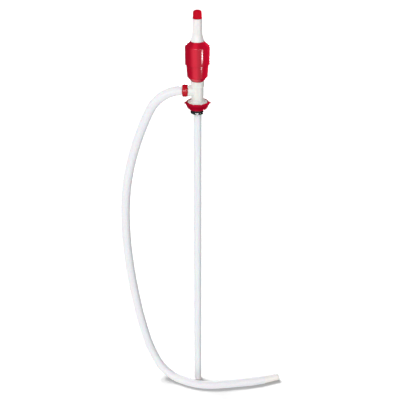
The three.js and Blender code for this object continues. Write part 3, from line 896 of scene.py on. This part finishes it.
def handle():
    """The white grip: a foot flange, a ribbed neck, and a threaded stub for the vent cap."""
    foot, stub_top = levels("handle")
    flange, flange_top, neck, neck_top = reach("handle"), 176.8, 12.2, 236
    flare_radius, flare_top, flare_start = 110, 212, 198.2
    bead, bead_foot = 13, 228
    rib_count, rib_height, rib_foot, rib_top = 12, 0.6, 196, 226
    thread_depth, thread_pitch = 0.8, 2.4
    rod, rod_top, air, seat, plug, stub_root = 7.3, 200.3, 4, 222, 5.8, 6.75

    def shape(turn, radius, level):
        if radius > neck - 1 and level > flange_top + 4:
            ends = ramp(level, rib_foot, rib_foot + 5) * (1 - ramp(level, rib_top - 4, rib_top))
            radius += rib_height * ends * ripple(turn, rib_count, 4)
        if level > neck_top + 0.2 and radius > plug + 0.5:
            radius += thread_depth * saw(turn, level, neck_top, stub_top, thread_pitch, steep=0.5)
        return radius, level

    profile = [
        [rod, foot],
        [flange, foot],
        [flange, flange_top - 0.1, 1],
        *arc(neck - 0.3 + flare_radius, flare_top, flare_radius, flare_start, end=180, steps=12),
        [neck + 0.2, bead_foot, 1],
        [bead, neck_top - 1, 0.6],
        [bead - 0.5, neck_top, 0.4],
        [stub_root, neck_top, 0.2],
        [stub_root, stub_top, 0.4],
        [plug, stub_top],
        [plug, seat + 4],
        [air, seat],
        [air, rod_top],
        [rod, rod_top],
    ]
    grip = lathe(form_name("handle"), profile, 0.5, 240, 0.6, shape)
    return stand_in(grip, "handle", GRIP_WHITE)


def plunger_tube():
    low, high = levels("plunger_tube")
    bore, radius = 4, 7
    profile = band(bore, radius, low, high)
    return stand_in(lathe(form_name("plunger_tube"), profile), "plunger_tube", BODY_WHITE)


def piston():
    low, high = levels("piston")
    bore, cup, radius = 7.3, 22, reach("piston")
    disc_foot, disc_top, hub_foot, hub_top = low + 3, low + 7, 11, 10
    profile = [
        [bore, low],
        [cup, low],
        [cup, disc_foot],
        [radius, disc_foot],
        [radius, disc_top],
        [hub_foot, disc_top, 1],
        [hub_top, high],
        [bore, high],
    ]
    return stand_in(lathe(form_name("piston"), profile, 0.4), "piston", BODY_WHITE)


def piston_cup():
    low, high = levels("piston_cup")
    inner, lip, radius = 22.3, 0.5, reach("piston_cup")
    profile = [
        [inner, low + 1.4],
        [radius - lip, low, 0.2],
        [radius, low, 0.2],
        [radius, high],
        [inner, high],
    ]
    return stand_in(lathe(form_name("piston_cup"), profile, 0.4), "piston_cup", SEAL_BLACK)


def vent_plug():
    low, high = levels("vent_plug")
    radius, head, tip, tip_top = reach("vent_plug"), 3.4, 1.6, low + 1.6
    collar_foot, collar_top = low + 4, high - 3
    profile = [
        [0, low],
        [tip, low],
        [head, tip_top],
        [head, collar_foot],
        [radius, collar_foot],
        [radius, collar_top],
        [head, collar_top],
        [head, high],
        [0, high],
    ]
    return stand_in(lathe(form_name("vent_plug"), profile, 0.3, 64), "vent_plug", BODY_WHITE)


def vent_cap():
    """A domed red cap with a bead at its foot and fine grip flutes."""
    foot, top = levels("vent_cap")
    radius, wall, dome = reach("vent_cap"), 1.2, 6.2
    head, stub, ceiling, socket_top = 3.7, 8, 246.6, 249.6
    bead_top, flute_foot, flute_top = foot + 2, foot + 2.6, top - 5.5
    flute_count, flute_depth = 36, 0.18

    def shape(turn, own_radius, level):
        if own_radius > radius - 2:
            ends = ramp(level, flute_foot, foot + 4.5) * (1 - ramp(level, top - 9, flute_top))
            own_radius -= flute_depth * ends * ripple(turn, flute_count, 2)
        return own_radius, level

    profile = [
        [0, socket_top],
        [head, socket_top],
        [head, ceiling],
        [stub, ceiling],
        [stub, foot],
        [radius, foot, 0.8],
        [radius, bead_top, 0.8],
        [radius - 0.6, bead_top + 0.7, 0.6],
        *arc(radius - wall - dome, top - dome, dome, start=4, end=80, steps=12),
        [0, top],
    ]
    cap = lathe(form_name("vent_cap"), profile, 0.4, 216, 0.8, shape)
    return stand_in(cap, "vent_cap", CAP_RED)


# ---------- studio ----------

FLOOR_REACH = 30
FLOOR_WHITE = 0.42
FLOOR_GLOW = 0.03
SKY_DARK_SIDE = (0.87, 0.5, 0)  # the studio is dark behind the pump, to its right
SKY_LIGHT = (1.25, 0.06)  # as light, from its bright side to its dark side
SKY_LIGHT_EDGE = (0.2, 0.8)  # between these cosines with the dark side
SKY_FRONT = (0, -1, 0)
SKY_GLOSS = (0.02, 0.75)  # as a reflection, from the sides and back to the front
SKY_GLOSS_EDGE = (0.25, 0.9)  # between these cosines with the front
PANEL_DISTANCE = 1.7


def make_floor():
    """A pale floor at the level of the suction tube's foot. The pump is lit by the studio instead of it."""
    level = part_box("suction_tube")[0].z
    form = bmesh.new()
    corners = [(-1, -1), (1, -1), (1, 1), (-1, 1)]
    form.faces.new([form.verts.new((x * FLOOR_REACH, y * FLOOR_REACH, level)) for x, y in corners])
    mesh = bpy.data.meshes.new("floor")
    form.to_mesh(mesh)
    form.free()
    floor = made_object("floor", mesh)
    floor.visible_glossy = False
    floor.visible_diffuse = False
    white = (FLOOR_WHITE, FLOOR_WHITE, FLOOR_WHITE, 1)
    look = Look("floor_white", Base_Color=white, Roughness=1, Specular_IOR_Level=0)
    look.shader.inputs["Emission Color"].default_value = (1, 1, 1, 1)
    look.shader.inputs["Emission Strength"].default_value = FLOOR_GLOW
    mesh.materials.append(look.material)
    return floor


def direction(azimuth, elevation):
    """Towards a light, in degrees: azimuth 0 is the camera's side, and positive is to its right."""
    turn, rise = math.radians(azimuth), math.radians(elevation)
    return Vector((math.sin(turn) * math.cos(rise), -math.cos(turn) * math.cos(rise), math.sin(rise)))


def add_light(name, kind, azimuth, elevation, energy, distance=0, aim=(0, 0, 0), **values):
    lamp = bpy.data.lights.new(name, kind)
    lamp.energy = energy
    for key, value in values.items():
        setattr(lamp, key, value)
    light = bpy.data.objects.new(name, lamp)
    bpy.context.scene.collection.objects.link(light)
    back = direction(azimuth, elevation)
    light.location = Vector(aim) + back * distance
    light.rotation_euler = (-back).to_track_quat("-Z", "Y").to_euler()
    return light


def falls_on(light, pieces):
    """The light reaches these objects only."""
    lit = bpy.data.collections.new("lit_by_" + light.name)
    for piece in pieces:
        lit.objects.link(piece)
    light.light_linking.receiver_collection = lit


def panel(name, azimuth, radiance, width, height, level, elevation=0):
    """A softbox that shows in gloss only, aimed at a level of the pump's axis, in metres."""
    size = {"shape": "RECTANGLE", "size": width, "size_y": height}
    energy = radiance * math.pi * width * height
    light = add_light(name, "AREA", azimuth, elevation, energy, PANEL_DISTANCE, (0, 0, level), **size)
    light.visible_diffuse = False
    return light


def sky_lobe(tree, towards, start, end, before, after):
    """before where a direction's cosine with towards is under start, after past end, smooth between."""
    cosine = tree.nodes.new("ShaderNodeVectorMath")
    cosine.operation = "DOT_PRODUCT"
    cosine.inputs[1].default_value = towards
    tree.links.new(tree.nodes.new("ShaderNodeTexCoord").outputs["Generated"], cosine.inputs[0])
    lobe = tree.nodes.new("ShaderNodeMapRange")
    lobe.interpolation_type = "SMOOTHSTEP"
    numbers = (("From Min", start), ("From Max", end), ("To Min", before), ("To Max", after))
    for socket, number in numbers:
        lobe.inputs[socket].default_value = number
    tree.links.new(cosine.outputs["Value"], lobe.inputs["Value"])
    return lobe.outputs["Result"]


def make_sky():
    """White to the camera. As light it has one dark side, and in gloss it is bright in front only."""
    world = bpy.data.worlds.new("studio")
    world.use_nodes = True
    tree = world.node_tree
    path = tree.nodes.new("ShaderNodeLightPath")
    light = sky_lobe(tree, SKY_DARK_SIDE, *SKY_LIGHT_EDGE, *SKY_LIGHT)
    gloss = sky_lobe(tree, SKY_FRONT, *SKY_GLOSS_EDGE, *SKY_GLOSS)
    strength = mixed_value(tree, path.outputs["Is Glossy Ray"], light, gloss)
    strength = mixed_value(tree, path.outputs["Is Camera Ray"], strength, 1.0)
    background = tree.nodes["Background"]
    background.inputs["Color"].default_value = (1, 1, 1, 1)
    tree.links.new(strength, background.inputs["Strength"])
    bpy.context.scene.world = world


def make_studio(floor, reds, blacks):
    """A sun for the floor's shadows, a low fill for the red pieces, and softboxes for the highlights."""
    bpy.context.scene.view_settings.view_transform = "Standard"
    make_sky()
    key = add_light("key", "SUN", azimuth=-130, elevation=58, energy=6.8, angle=math.radians(28))
    falls_on(key, [floor])
    fill = add_light("fill", "SUN", azimuth=100, elevation=8, energy=3.8, angle=math.radians(40))
    fill.visible_glossy = False
    falls_on(fill, reds)
    panel("strip", azimuth=45, radiance=36, width=0.3, height=0.31, level=-0.365)
    panel("bar", azimuth=0, radiance=10, width=2.4, height=0.3, level=0.03, elevation=20)
    panel("back", azimuth=180, radiance=30, width=0.3, height=0.5, level=-0.3)
    low_left = panel("low_left", azimuth=-9, radiance=70, width=1.7, height=0.5, level=-0.63)
    falls_on(low_left, blacks)
    low_right = panel("low_right", azimuth=130, radiance=45, width=1.8, height=0.5, level=-0.63)
    falls_on(low_right, blacks)


# ---------- the pump ----------

make_camera()
floor = make_floor()

spout = nozzle()
hose = discharge_hose()

ring = bung_adapter()
bung_gasket()
gland = gland_body()
gland_seal()
gland_collar()
suction_tube()
tee_body()
oring("tube_oring", radius=12.1, section=0.75)
intake_seat()
intake_ball()
hose_barb()
nut = hose_nut()
barrel = [lower_barrel(), upper_barrel()]
oring("barrel_oring", radius=29.3, section=0.65)
rod_guide()
rod_seal()
handle()
plunger_tube()
piston()
piston_cup()
vent_plug()
oring("vent_oring", radius=4.35, section=0.65)
cap = vent_cap()
make_studio(floor, [ring, nut, cap, *barrel], [gland])

for node in ("ball_cage", "outlet_seat", "flap_pin", "outlet_flap", "piston_nut"):
    carried = frame["nodes"][node]
    carried.data.materials.clear()
    carried.data.materials.append(SLOT_LOOKS[SLOT_OF[node]])
